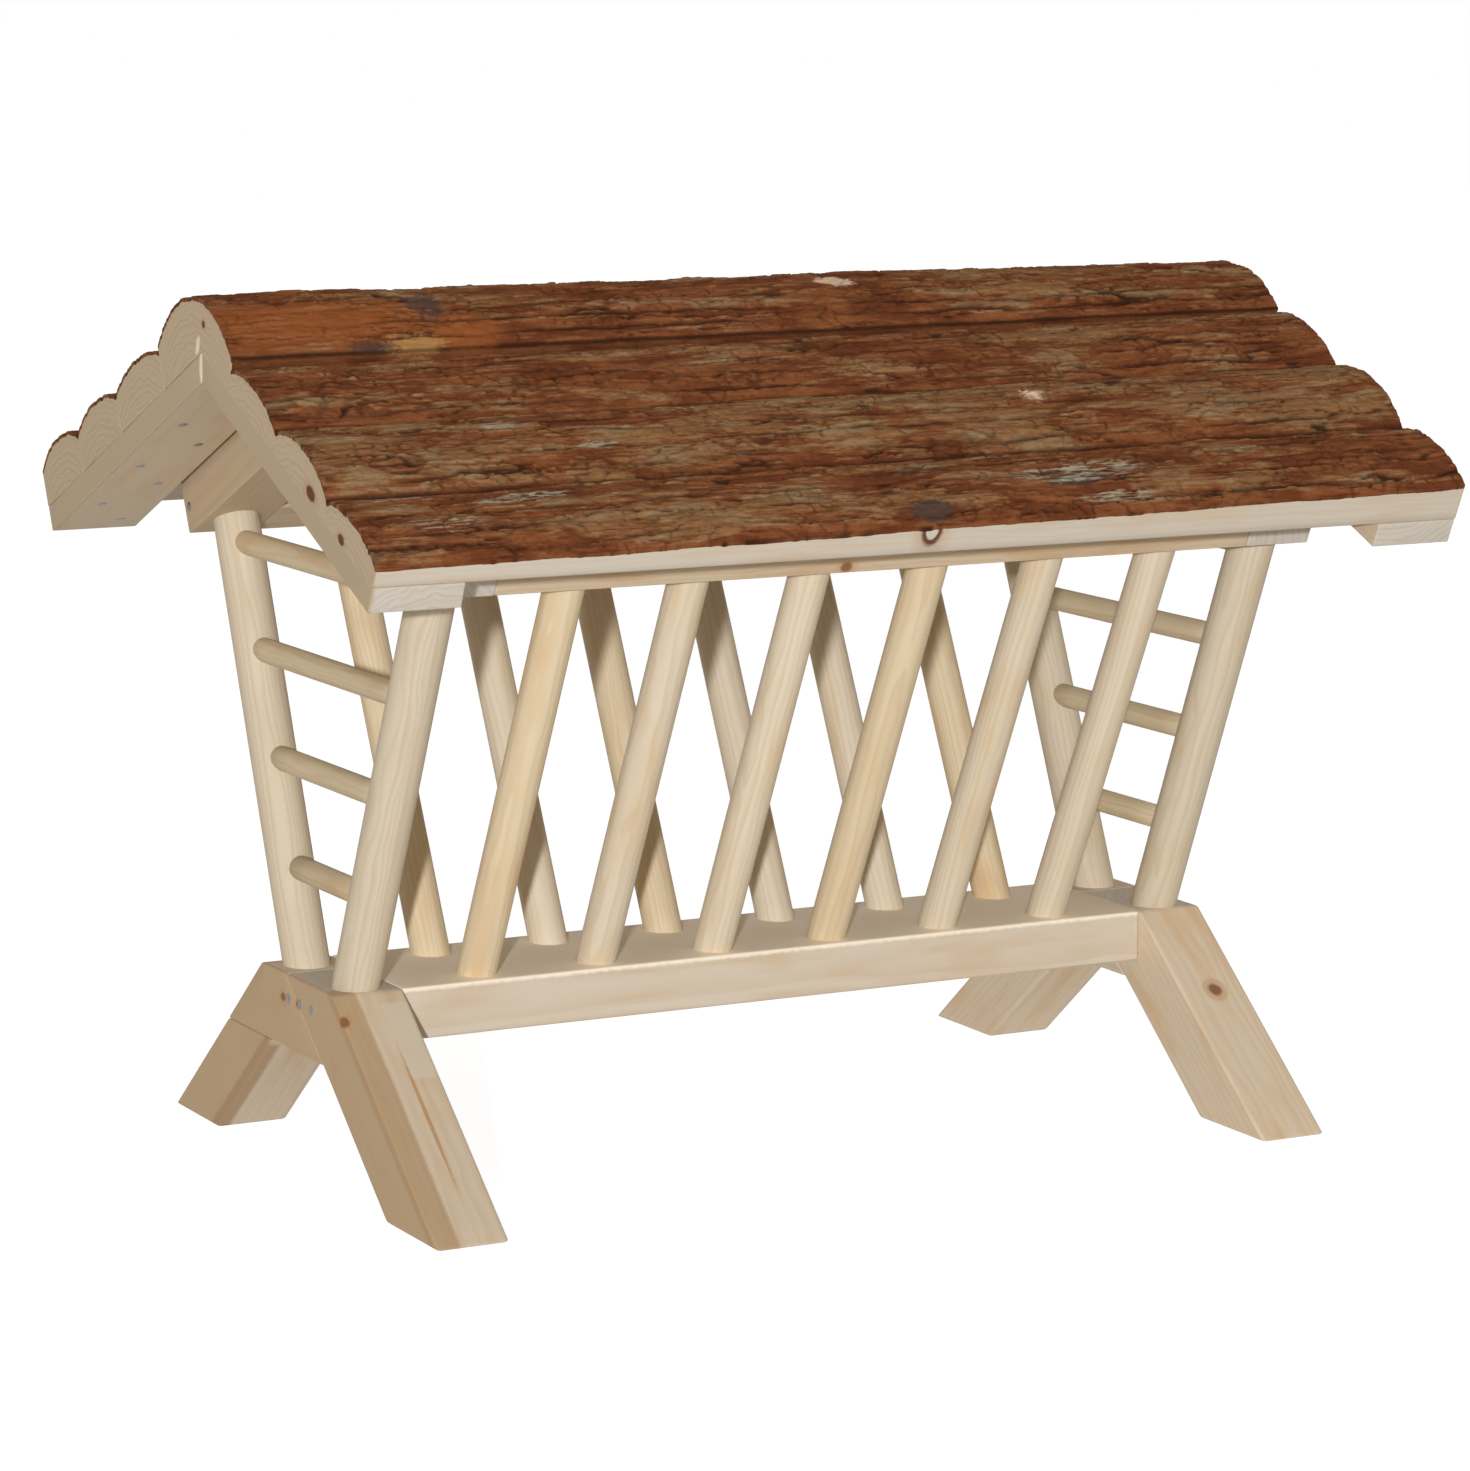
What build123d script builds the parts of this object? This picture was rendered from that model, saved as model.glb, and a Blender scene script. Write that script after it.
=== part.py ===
from build123d import *
from math import atan2, cos, radians, sin, tan
import os

# Hay feeder box: two leaning rows of dowels make a V-shaped hay rack. The rack stands on
# two splayed trestles, and a pitched roof of bark slabs lies loose on its top frame.
# X runs along the feeder, Y from its front to its back and Z up. Sizes are in millimetres,
# angles in degrees. Every piece is built about the middle of the rack. At the end all are
# moved, so that the origin is the middle of the whole feeder's outline, on the ground.

# ---- Stock ----
bar = 30.0  # square bar of the legs, cross bars, rafters and rails
post_diameter = 19.0
dowel_diameter = 16.0
rung_diameter = 10.0

# ---- Base plank and trestles ----
rack_length = 400.0  # over the outer faces of the two trestles
plank_top = 79.0  # height above the ground
plank_width = 72.0
plank_thickness = 21.0
leg_rake = 51.0  # of the legs from the vertical

# ---- Leaning rows ----
lean = 26.3  # of the dowels from the vertical
row_foot = 22.0  # from the middle of the plank to a dowel's axis, at the plank's top
post_foot = 16.5  # the same for a post. It leans more, as the heads are all in one line
dowel_span = 188.5  # free length of a dowel, from the plank to its rail
dowels_per_row = 6
dowel_seat = 12.0  # depth of a dowel's end in the plank and in the rail
post_seat = 8.0  # depth of a post's end in its trestle and in its rafter
post_lean_in = 1.5  # of a post's head toward the middle, from straight over its foot

# ---- Rungs of the two ends ----
rungs_per_end = 4
rung_foot_gap = 38.0  # height of the lowest rung over the plank's top
rung_head_gap = 5.9  # depth of the highest rung under the posts' upper shoulders
rung_seat = 6.0  # depth of a rung's end in its post

# ---- Top frame ----
roof_slope = 24.0  # of the top frame and the roof, from the level
frame_inset = 3.0  # of the rafters' outer faces inside the trestles' outer faces
frame_edge = 11.4  # from a dowel's axis down the slope to the frame's lower edge

# ---- Roof ----
roof_play = 2.7  # sideways room between the rafters and the battens, at each end
front_overhang = 37.0  # of the roof past the top frame, down the slope
back_overhang = 50.6
batten_width = 36.8
batten_thickness = 10.5
# The ridge slab is half a log, notched to sit astride the ridge.
ridge_slab_front = 29.5  # its width on the front slope
ridge_slab_back = 42.8  # its width on the back slope
ridge_crown = 21.0  # height of its bark over the top of the notch
# Thickness of its two edges at the left and at the right end.
ridge_front_edges = (13.0, 17.5)
ridge_back_edges = (18.0, 16.0)
# Widths down the slope of the slabs below it. The lowest of a side takes what is left.
front_slab_widths = (48.2, 52.2)
back_slab_widths = (53.0, 48.7)
# Edge thickness of each side's slabs at the left and at the right end: they are tapered.
front_slab_edges = (8.6, 16.0)
back_slab_edges = (16.0, 12.5)
# Bulge of the bark over a slab's edges, for each side's slabs.
front_slab_bulges = (5.4, 7.6, 5.6)
back_slab_bulges = (5.2, 5.6, 6.6)

# The bark has long ridges, with a furrow between each two. A furrow's place is its share of
# the way over a slab, at the left and at the right end. The ridge slab has a pattern a side.
bark_furrows = ((0.15, 0.31, 0.52, 0.68, 0.87), (0.12, 0.35, 0.48, 0.72, 0.83))
furrow_width = 3.2
furrow_depth = 1.3

# ---- Nails ----
nail_diameter = 2.4
nail_head_diameter = 4.4
nail_head_height = 1.0
frame_nail_length = 50.0  # of the nails into the plank's and the rails' ends
batten_nail_length = 16.0
plank_nails_per_end = 3
plank_nail_pitch = 11.4
plank_nail_offset = -2.6  # of the middle nail from the middle of the plank, to the front
nail_under_socket = 2.0  # from the floor of a post's socket down to the foremost nail
rail_nail_edge = 5.0  # from the frame's lower edge to the lower nail of each joint
rail_nail_rise = 10.0  # of that nail over the frame's underside
rail_nail_pitch = 15.0  # down the slope between the two nails of a joint
rail_nail_step = 14.0  # of the upper nail over the lower one, square to the slope
batten_nail_stagger = 16.0  # across the batten between the two nails of a slab

# ---- Fits ----
glue_gap = 0.1  # round each glued end and each nail
slab_gap = 0.5  # between neighbouring slabs

# ---- Places that follow from the sizes ----
LEFT = -1
RIGHT = 1
FRONT = -1
BACK = 1
END_NAMES = {LEFT: "left", RIGHT: "right"}
SIDE_NAMES = {FRONT: "front", BACK: "back"}

post_radius = post_diameter / 2
dowel_radius = dowel_diameter / 2
rung_radius = rung_diameter / 2
slope_sin = sin(radians(roof_slope))
slope_cos = cos(radians(roof_slope))
slope_tan = tan(radians(roof_slope))

trestle_outer = rack_length / 2
trestle_inner = trestle_outer - bar
trestle_middle = trestle_outer - bar / 2
post_head_x = trestle_middle - post_lean_in
rafter_outer = trestle_outer - frame_inset
rafter_inner = rafter_outer - bar

# A row's axes meet the underside of the top frame here.
row_head_y = row_foot + dowel_span * sin(radians(lean))
row_head_z = plank_top + dowel_span * cos(radians(lean))
post_lean = atan2(row_head_y - post_foot, row_head_z - plank_top)

# The undersides of the frame's two slopes meet at this height over the middle.
under_apex = row_head_z + row_head_y * slope_tan
frame_eave = row_head_y / slope_cos + frame_edge

batten_inner = rafter_outer + roof_play
roof_end = batten_inner + batten_width
roof_eaves = {FRONT: frame_eave + front_overhang, BACK: frame_eave + back_overhang}
ridge_slab_widths = {FRONT: ridge_slab_front, BACK: ridge_slab_back}
slab_widths = {FRONT: front_slab_widths, BACK: back_slab_widths}
slab_edges = {FRONT: front_slab_edges, BACK: back_slab_edges}
slab_bulges = {FRONT: front_slab_bulges, BACK: back_slab_bulges}


def slope_point(side, along, up, x):
    """Point on one slope: along runs down it from the apex, up stands square to it."""
    y = side * (along * slope_cos + up * slope_sin)
    z = under_apex - along * slope_sin + up * slope_cos
    return Vector(x, y, z)


def mitre(up):
    """Distance along the slope at which the middle plane cuts the height up."""
    return -up * slope_tan


def prism(points, x_from, x_to):
    """Straight piece along X whose section is the polygon points, in the plane X = x_from."""
    section = Face(Wire.make_polygon([Vector(x_from, p.Y, p.Z) for p in points]))
    return extrude(section, amount=x_to - x_from, dir=(1, 0, 0))


def slope_prism(side, corners, x_from, x_to):
    """Straight piece along X with its section given as (along, up) corners on one slope."""
    points = [slope_point(side, along, up, x_from) for along, up in corners]
    return prism(points, x_from, x_to)


def rod(start, end, radius):
    """Round rod between the centres of its two flat ends."""
    axis = end - start
    return Solid.make_cylinder(radius, axis.length, Plane(origin=start, z_dir=axis))


def leaning_rod(foot, head, radius, seat, spare=0.0):
    """Rod let into the pieces at its foot and at its head by the depth seat."""
    run = (head - foot).normalized() * (seat + spare)
    return rod(foot - run, head + run, radius + spare)


def nail(head, direction, length, spare=0.0):
    """Nail with the face of its head at a point and its shank along direction."""
    head_radius = nail_head_diameter / 2 + spare
    shank_radius = nail_diameter / 2 + spare
    head_depth = nail_head_height + spare
    tip = length + spare
    profile = Polyline(
        (0, 0),
        (head_radius, 0),
        (head_radius, head_depth),
        (shank_radius, head_depth),
        (shank_radius, tip - nail_diameter),
        (0, tip),
        close=True,
    )
    turned = revolve(Plane.XZ * make_face(profile), axis=Axis.Z)
    return Plane(origin=head, z_dir=Vector(*direction)) * turned


# ---- Posts, dowels and rungs ----


def post(side, end, spare=0.0):
    """Corner post, from the middle of its trestle to its rafter."""
    foot = Vector(end * trestle_middle, side * post_foot, plank_top)
    head = Vector(end * post_head_x, side * row_head_y, row_head_z)
    return leaning_rod(foot, head, post_radius, post_seat, spare)


def dowel_places():
    """Places along X of a row's dowels, evenly spread between the posts' feet."""
    pitch = 2 * trestle_middle / (dowels_per_row + 1)
    return [pitch * (i + 1) - trestle_middle for i in range(dowels_per_row)]


def dowel(side, x, spare=0.0):
    foot = Vector(x, side * row_foot, plank_top)
    head = Vector(x, side * row_head_y, row_head_z)
    return leaning_rod(foot, head, dowel_radius, dowel_seat, spare)


def rung_heights():
    """Heights of the rungs, evenly spread from the lowest to the highest."""
    lowest = plank_top + rung_foot_gap
    highest = row_head_z - rung_head_gap
    pitch = (highest - lowest) / (rungs_per_end - 1)
    return [lowest + pitch * i for i in range(rungs_per_end)]


def rung(end, z, spare=0.0):
    """Rung across one end, with its ends let into the front and the back post."""
    share = (z - plank_top) / (row_head_z - plank_top)
    x = end * (trestle_middle - share * post_lean_in)
    axis_y = post_foot + share * (row_head_y - post_foot)
    reach = axis_y - post_radius / cos(post_lean) + rung_seat + spare
    return rod(Vector(x, -reach, z), Vector(x, reach, z), rung_radius + spare)


# ---- Trestles ----


def leg_outer(z):
    """Distance from the middle to the legs' outer faces at the height z."""
    return plank_width / 2 + (plank_top - z) * tan(radians(leg_rake))


def leg_inner(z):
    """Distance from the middle to the legs' inner faces. It is negative past the middle."""
    return leg_outer(z) - bar / cos(radians(leg_rake))


def trestle_span(end):
    return sorted((end * trestle_inner, end * trestle_outer))


def leg(side, end, top):
    """Raked leg, cut level at the ground and at the height top."""
    corners = [(leg_outer(0), 0), (leg_outer(top), top), (leg_inner(top), top), (leg_inner(0), 0)]
    return prism([Vector(0, side * y, z) for y, z in corners], *trestle_span(end))


def cross_bar(end):
    """Level bar that butts on the front leg, rests on the back leg and ends flush with it."""
    low = plank_top - bar
    corners = [
        (-leg_inner(plank_top), plank_top),
        (leg_outer(plank_top), plank_top),
        (leg_outer(low), low),
        (-leg_inner(low), low),
    ]
    return prism([Vector(0, y, z) for y, z in corners], *trestle_span(end))


# ---- Top frame ----


def rafter(side, end):
    """Half of an end pair: mitred at the ridge and cut square at its lower edge."""
    corners = [(mitre(0), 0), (frame_eave, 0), (frame_eave, bar), (mitre(bar), bar)]
    return slope_prism(side, corners, *sorted((end * rafter_inner, end * rafter_outer)))


def rail(side):
    """Bar between two rafters, with its lower edge flush with their ends."""
    upper = frame_eave - bar
    corners = [(upper, 0), (frame_eave, 0), (frame_eave, bar), (upper, bar)]
    return slope_prism(side, corners, -rafter_inner, rafter_inner)


# ---- Roof ----


def batten(side, end):
    """Strip under the slabs' ends, outside the rafters, mitred at the ridge."""
    low = bar - batten_thickness
    eave = roof_eaves[side]
    corners = [(mitre(low), low), (eave, low), (eave, bar), (mitre(bar), bar)]
    return slope_prism(side, corners, *sorted((end * batten_inner, end * roof_end)))


def slab_bounds(side):
    """Upper and lower edge of a side's slabs, along the slope, with the ridge slab's first."""
    joints = [mitre(bar), mitre(bar) + ridge_slab_widths[side]]
    for width in slab_widths[side]:
        joints.append(joints[-1] + width)
    joints.append(roof_eaves[side])
    return list(zip(joints, joints[1:]))


def bark_outline(start, crown, end, furrows):
    """Edges of an arc of bark from start over crown to end, with a groove at each furrow."""
    arc = Edge.make_three_point_arc(start, crown, end)
    half = furrow_width / 2 / arc.length
    firsts = [0, *(share + half for share in furrows)]
    lasts = [*(share - half for share in furrows), 1]
    outline = [arc.trim(*shares) for shares in zip(firsts, lasts)]
    for share, before, after in zip(furrows, lasts, firsts[1:]):
        rim = arc @ share
        floor = rim + (arc.arc_center - rim).normalized() * furrow_depth
        outline.append(Edge.make_line(arc @ before, floor))
        outline.append(Edge.make_line(floor, arc @ after))
    return outline


def ridge_section(x, front_edge, back_edge, furrows):
    """Wire round the ridge slab's section, which is notched to fit both slopes."""
    front = slab_bounds(FRONT)[0][1] - slab_gap
    back = slab_bounds(BACK)[0][1] - slab_gap
    points = [
        slope_point(FRONT, front, bar + front_edge, x),
        slope_point(FRONT, front, bar, x),
        slope_point(FRONT, mitre(bar), bar, x),
        slope_point(BACK, back, bar, x),
        slope_point(BACK, back, bar + back_edge, x),
    ]
    crown = Vector(x, (points[0].Y + points[-1].Y) / 2, points[2].Z + ridge_crown)
    outline = [Edge.make_line(a, b) for a, b in zip(points, points[1:])]
    both = [share / 2 for share in (*furrows, 1, *(1 + share for share in furrows))]
    return Wire(outline + bark_outline(points[-1], crown, points[0], both))


def ridge_slab():
    """Half log astride the ridge, tapered a little from one end to the other."""
    places = zip((-roof_end, roof_end), ridge_front_edges, ridge_back_edges, bark_furrows)
    return Solid.make_loft([ridge_section(*place) for place in places], ruled=True)


def slab_section(side, x, start, end, edge, bulge, furrows):
    """Wire round a slab's section: its edges are square to the slope and equally thick."""
    corners = [(start, bar + edge), (start, bar), (end, bar), (end, bar + edge)]
    points = [slope_point(side, along, up, x) for along, up in corners]
    crown = slope_point(side, (start + end) / 2, bar + edge + bulge, x)
    outline = [Edge.make_line(a, b) for a, b in zip(points, points[1:])]
    return Wire(outline + bark_outline(points[-1], crown, points[0], furrows))


def bark_slab(side, index):
    """Slab with its bark face up, tapered from one end to the other. The top one has index 1."""
    start, end = slab_bounds(side)[index]
    end -= slab_gap if end < roof_eaves[side] else 0
    bulge = slab_bulges[side][index - 1]
    places = zip((-roof_end, roof_end), slab_edges[side], bark_furrows)
    sections = [slab_section(side, x, start, end, edge, bulge, cuts) for x, edge, cuts in places]
    return Solid.make_loft(sections, ruled=True)


def roof_reach(side):
    """Distance from the rack's middle to the roof's outermost point on a side."""
    return abs(slope_point(side, roof_eaves[side], bar + max(slab_edges[side]), 0).Y)


# ---- Nails ----


def socket_floor(y):
    """Height of the floor of the front posts' sockets, over the point y of the trestle."""
    foot_y = -post_foot + post_seat * sin(post_lean)
    foot_z = plank_top - post_seat * cos(post_lean)
    return foot_z + (y - foot_y) * tan(post_lean)


def plank_nails(end, spare=0.0):
    """Row of nails through a trestle into the plank's end, just under the post's socket."""
    middle = (plank_nails_per_end - 1) / 2
    places = [plank_nail_offset + plank_nail_pitch * (i - middle) for i in range(plank_nails_per_end)]
    z = socket_floor(places[0]) - nail_under_socket
    heads = [Vector(end * trestle_outer, y, z) for y in places]
    return [nail(head, (-end, 0, 0), frame_nail_length, spare) for head in heads]


def rail_nails(side, end, spare=0.0):
    """Two nails through a rafter into the end of its rail, clear of the post's head."""
    low = (frame_eave - rail_nail_edge, rail_nail_rise)
    high = (low[0] - rail_nail_pitch, low[1] + rail_nail_step)
    heads = [slope_point(side, along, up, end * rafter_outer) for along, up in (low, high)]
    return [nail(head, (-end, 0, 0), frame_nail_length, spare) for head in heads]


def batten_nails(side, end, spare=0.0):
    """Two nails through a batten into each slab, a quarter of its width from its edges."""
    middle = (batten_inner + roof_end) / 2
    stagger = batten_nail_stagger / 2
    nails = []
    for start, stop in slab_bounds(side):
        quarter = (stop - start) / 4
        for along, shift in ((start + quarter, stagger), (stop - quarter, -stagger)):
            x = end * (middle + shift)
            head = slope_point(side, along, bar - batten_thickness, x)
            direction = (0, side * slope_sin, slope_cos)
            nails.append(nail(head, direction, batten_nail_length, spare))
    return nails


# ---- Assembly: every piece under its node's name ----

sides = (FRONT, BACK)
ends = (LEFT, RIGHT)
corners = [(side, end) for side in sides for end in ends]
nodes = {}


def corner_name(side, end, piece):
    return f"{SIDE_NAMES[side]}_{END_NAMES[end]}_{piece}"


plank = prism(
    [
        Vector(0, -plank_width / 2, plank_top - plank_thickness),
        Vector(0, plank_width / 2, plank_top - plank_thickness),
        Vector(0, plank_width / 2, plank_top),
        Vector(0, -plank_width / 2, plank_top),
    ],
    -trestle_inner,
    trestle_inner,
)
for side in sides:
    for x in dowel_places():
        plank -= dowel(side, x, glue_gap)
for end in ends:
    for hole in plank_nails(end, glue_gap):
        plank -= hole
nodes["base_plank"] = plank

for end in ends:
    front_leg = leg(FRONT, end, plank_top)
    level_bar = cross_bar(end)
    for side in sides:
        front_leg -= post(side, end, glue_gap)
    level_bar -= post(BACK, end, glue_gap)
    for hole in plank_nails(end, glue_gap):
        front_leg -= hole
        level_bar -= hole
    nodes[corner_name(FRONT, end, "leg")] = front_leg
    nodes[corner_name(BACK, end, "leg")] = leg(BACK, end, plank_top - bar)
    nodes[f"{END_NAMES[end]}_cross_bar"] = level_bar

for side, end in corners:
    bored_post = post(side, end)
    for z in rung_heights():
        bored_post -= rung(end, z, glue_gap)
    nodes[corner_name(side, end, "post")] = bored_post

for side in sides:
    for i, x in enumerate(dowel_places(), start=1):
        nodes[f"{SIDE_NAMES[side]}_dowel_{i}"] = dowel(side, x)

for end in ends:
    for i, z in enumerate(rung_heights(), start=1):
        nodes[f"{END_NAMES[end]}_rung_{i}"] = rung(end, z)

for side, end in corners:
    bored_rafter = rafter(side, end) - post(side, end, glue_gap)
    for hole in rail_nails(side, end, glue_gap):
        bored_rafter -= hole
    nodes[corner_name(side, end, "rafter")] = bored_rafter

for side in sides:
    bored_rail = rail(side)
    for x in dowel_places():
        bored_rail -= dowel(side, x, glue_gap)
    for end in ends:
        for hole in rail_nails(side, end, glue_gap):
            bored_rail -= hole
    nodes[f"{SIDE_NAMES[side]}_rail"] = bored_rail

top_slab = ridge_slab()
for side, end in corners:
    for hole in batten_nails(side, end, glue_gap):
        top_slab -= hole
nodes["ridge_bark_slab"] = top_slab

for side in sides:
    holes = [hole for end in ends for hole in batten_nails(side, end, glue_gap)]
    for index in range(1, len(slab_bounds(side))):
        slab = bark_slab(side, index)
        for hole in holes:
            slab -= hole
        nodes[f"{SIDE_NAMES[side]}_bark_slab_{index}"] = slab

for side, end in corners:
    bored_batten = batten(side, end)
    for hole in batten_nails(side, end, glue_gap):
        bored_batten -= hole
    nodes[corner_name(side, end, "batten")] = bored_batten

nodes["plank_nails"] = Compound([piece for end in ends for piece in plank_nails(end)])
nodes["rail_nails"] = Compound([piece for corner in corners for piece in rail_nails(*corner)])
nodes["batten_nails"] = Compound([piece for corner in corners for piece in batten_nails(*corner)])

middle_y = (roof_reach(BACK) - roof_reach(FRONT)) / 2
to_origin = Pos(0, -middle_y, 0)

os.makedirs("parts", exist_ok=True)
for name, shape in nodes.items():
    export_step(to_origin * shape, f"parts/{name}.step")
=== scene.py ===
import math
import bpy
import numpy as np
from mathutils import Matrix, Vector


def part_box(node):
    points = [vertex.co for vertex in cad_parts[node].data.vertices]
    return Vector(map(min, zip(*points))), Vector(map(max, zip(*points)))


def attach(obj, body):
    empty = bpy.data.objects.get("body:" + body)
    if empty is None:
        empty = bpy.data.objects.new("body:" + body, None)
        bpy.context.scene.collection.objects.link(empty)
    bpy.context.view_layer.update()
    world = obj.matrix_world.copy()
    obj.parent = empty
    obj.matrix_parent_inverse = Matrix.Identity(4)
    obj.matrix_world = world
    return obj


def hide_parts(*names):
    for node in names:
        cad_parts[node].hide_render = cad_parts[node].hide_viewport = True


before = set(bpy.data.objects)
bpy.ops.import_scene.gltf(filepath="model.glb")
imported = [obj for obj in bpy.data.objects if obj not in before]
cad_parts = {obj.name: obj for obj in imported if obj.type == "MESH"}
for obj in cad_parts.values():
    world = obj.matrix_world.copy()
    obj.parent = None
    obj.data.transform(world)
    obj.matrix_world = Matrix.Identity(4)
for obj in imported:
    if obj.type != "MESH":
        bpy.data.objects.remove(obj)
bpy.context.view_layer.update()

# ---- Base plank ----
# A pale planed softwood plank that the two rows of dowels stand in. Its ends butt on the
# trestles and are nailed through them. Its arrises are lightly sanded.

MM = 0.001


class Value:
    """A shader socket that takes part in Python sums: each operator adds its Math node."""

    def __init__(self, finish, socket):
        self.finish = finish
        self.socket = socket

    def math(self, operation, *others):
        settings = {"operation": operation}
        return self.finish.add("ShaderNodeMath", settings, dict(enumerate((self, *others))))

    def __add__(self, other):
        return self.math("ADD", other)

    __radd__ = __add__

    def __sub__(self, other):
        return self.math("SUBTRACT", other)

    def __rsub__(self, other):
        return (self * -1) + other

    def __mul__(self, other):
        return self.math("MULTIPLY", other)

    __rmul__ = __mul__

    def __truediv__(self, other):
        return self.math("DIVIDE", other)

    def __pow__(self, other):
        return self.math("POWER", other)

    def step(self, low, high):
        """Smooth step: 0 below low, 1 above high, and the other way round when low > high."""
        inputs = {"Value": self, "From Min": low, "From Max": high}
        settings = {"interpolation_type": "SMOOTHSTEP"}
        return self.finish.add("ShaderNodeMapRange", settings, inputs)


class Finish:
    """A material, or a world, under construction, with one method that adds any node."""

    def __init__(self, owner):
        self.material = bpy.data.materials.new(owner) if isinstance(owner, str) else owner
        self.material.use_nodes = True
        self.tree = self.material.node_tree
        self.tree.nodes.clear()

    def add(self, kind, settings=None, inputs=None, out=0):
        """Adds a node, sets it up, feeds its sockets and gives back one of its outputs."""
        node = self.tree.nodes.new(kind)
        for name, value in (settings or {}).items():
            setattr(node, name, value)
        for name, value in (inputs or {}).items():
            if isinstance(value, Value):
                self.tree.links.new(value.socket, node.inputs[name])
            else:
                node.inputs[name].default_value = value
        return Value(self, node.outputs[out]) if len(node.outputs) else None

    def attribute(self, name):
        """The three numbers of a vector that the piece carries at its points."""
        vector = self.add("ShaderNodeAttribute", {"attribute_name": name}, out=1)
        first = self.add("ShaderNodeSeparateXYZ", None, {0: vector})
        outputs = first.socket.node.outputs
        return [Value(self, outputs[i]) for i in range(3)]

    def join(self, x, y=0.0, z=0.0):
        """A vector from three numbers."""
        return self.add("ShaderNodeCombineXYZ", None, {0: x, 1: y, 2: z})

    def noise(self, vector, scale, detail=2.0, roughness=0.5):
        """Noise from 0 to 1, around a half."""
        inputs = {"Vector": vector, "Scale": scale, "Detail": detail, "Roughness": roughness}
        return self.add("ShaderNodeTexNoise", None, inputs)

    def mix(self, factor, first, second):
        """Colour between first, at 0, and second, at 1."""
        settings = {"data_type": "RGBA"}
        return self.add("ShaderNodeMix", settings, {0: factor, 6: first, 7: second}, 2)

    def shade(self, colour, factor):
        """Colour times a plain number that may vary over the surface."""
        settings = {"data_type": "RGBA", "blend_type": "MULTIPLY"}
        grey = self.join(factor, factor, factor)
        return self.add("ShaderNodeMix", settings, {0: 1.0, 6: colour, 7: grey}, 2)

    def vector_math(self, operation, *vectors, out=0):
        """A vector sum. Its output 1 is the number that a length or a dot product gives."""
        settings = {"operation": operation}
        return self.add("ShaderNodeVectorMath", settings, dict(enumerate(vectors)), out)

    def spot(self, place, centre, radii, ragged, edge):
        """1 inside an ellipsoid about a centre, 0 outside, with its edge pushed about."""
        scaled = self.vector_math("DIVIDE", self.vector_math("SUBTRACT", place, centre), radii)
        reach = self.vector_math("LENGTH", scaled, out=1)
        return (reach + ragged).step(1.0 + edge / 2, 1.0 - edge / 2)

    def streak(self, place, centre, axis, reach, radius, ragged, edge):
        """1 inside a long round bar about a centre, along a unit axis, 0 outside."""
        rel = self.vector_math("SUBTRACT", place, centre)
        along = self.vector_math("DOT_PRODUCT", rel, axis, out=1)
        full = self.vector_math("LENGTH", rel, out=1)
        off = (full * full - along * along).math("MAXIMUM", 0.0) ** 0.5 / radius
        within = (along.math("ABSOLUTE") / reach).step(1.05, 0.95)
        return (off + ragged).step(1.0 + edge / 2, 1.0 - edge / 2) * within

    def close(self, colour, roughness, height, bump, gloss=0.3, metal=0.0):
        """Ends the material in a Principled shader with a bump from a height in metres."""
        relief = {"Strength": bump, "Distance": 1.0, "Height": height}
        inputs = {
            "Base Color": colour,
            "Roughness": roughness,
            "Normal": self.add("ShaderNodeBump", None, relief),
            "Specular IOR Level": gloss,
            "Metallic": metal,
        }
        shader = self.add("ShaderNodeBsdfPrincipled", None, inputs)
        self.add("ShaderNodeOutputMaterial", None, {"Surface": shader})
        return self.material


def rgb(red, green, blue):
    """A screen colour, 0 to 255, as the linear colour that a shader takes."""
    screen = np.array([red, green, blue]) / 255
    linear = np.where(screen > 0.04045, ((screen + 0.055) / 1.055) ** 2.4, screen / 12.92)
    return (*linear, 1.0)


def wood_grain(finish, early, late, deep, ring, contrast, end):
    """Colour, roughness and height of bare softwood, worked out in a tree's coordinates.

    The attribute grain is (distance along the trunk, and two distances from its pith, in mm).
    Rings are shells of equal distance from the pith, so a long face shows lines or flames
    and a cut end shows arcs. The attribute tone is (brightness, warmth, cut end). Colours
    are early for the broad pale part of a ring, late for its thin line, deep for warm
    clouds and end for cut ends, and ring is the rings' pitch in mm.
    """
    along, across, through = finish.attribute("grain")
    bright, warmth, cut = finish.attribute("tone")
    slow = finish.join(along * 0.009, across * 0.05, through * 0.05)
    sway = finish.noise(slow, 1.0, 1.0)
    drift = finish.noise(slow, 3.1, 1.0)
    u = across + (sway - 0.5) * 5.0
    v = through + (drift - 0.5) * 5.0
    radius = (u * u + v * v) ** 0.5
    pace = finish.join(radius * 0.11)
    uneven = finish.noise(pace, 1.0, 1.0)
    phase = radius / ring + uneven * 2.2
    place = phase.math("FRACT")
    band = place.step(0.30, 0.92) * place.step(1.0, 0.93)
    strength = finish.noise(pace, 2.3, 0.0).step(0.25, 0.75) * 0.6 + 0.4
    latewood = band * strength
    fine = finish.join(along * 0.05, across * 2.2, through * 2.2)
    fibre = finish.noise(fine, 1.0, 3.0, 0.6)
    broad = finish.join(along * 0.012, across * 0.06, through * 0.06)
    cloud = finish.noise(broad, 1.7, 2.0)
    wood = finish.mix(latewood * contrast, early, late)
    wood = finish.mix((cloud - 0.45).step(0.0, 0.35) * warmth, wood, deep)
    flecks = (fibre - 0.5) * 0.10 + 1.0
    wood = finish.mix(cut * 0.85, wood, end)
    wood = finish.shade(wood, 1.0 - cut * latewood * 0.16)
    wood = finish.shade(wood, flecks * bright)
    height = (latewood * 0.03 + fibre * 0.02) * MM
    roughness = 0.66 - latewood * 0.08 + cut * 0.12
    return wood, roughness, height


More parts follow.
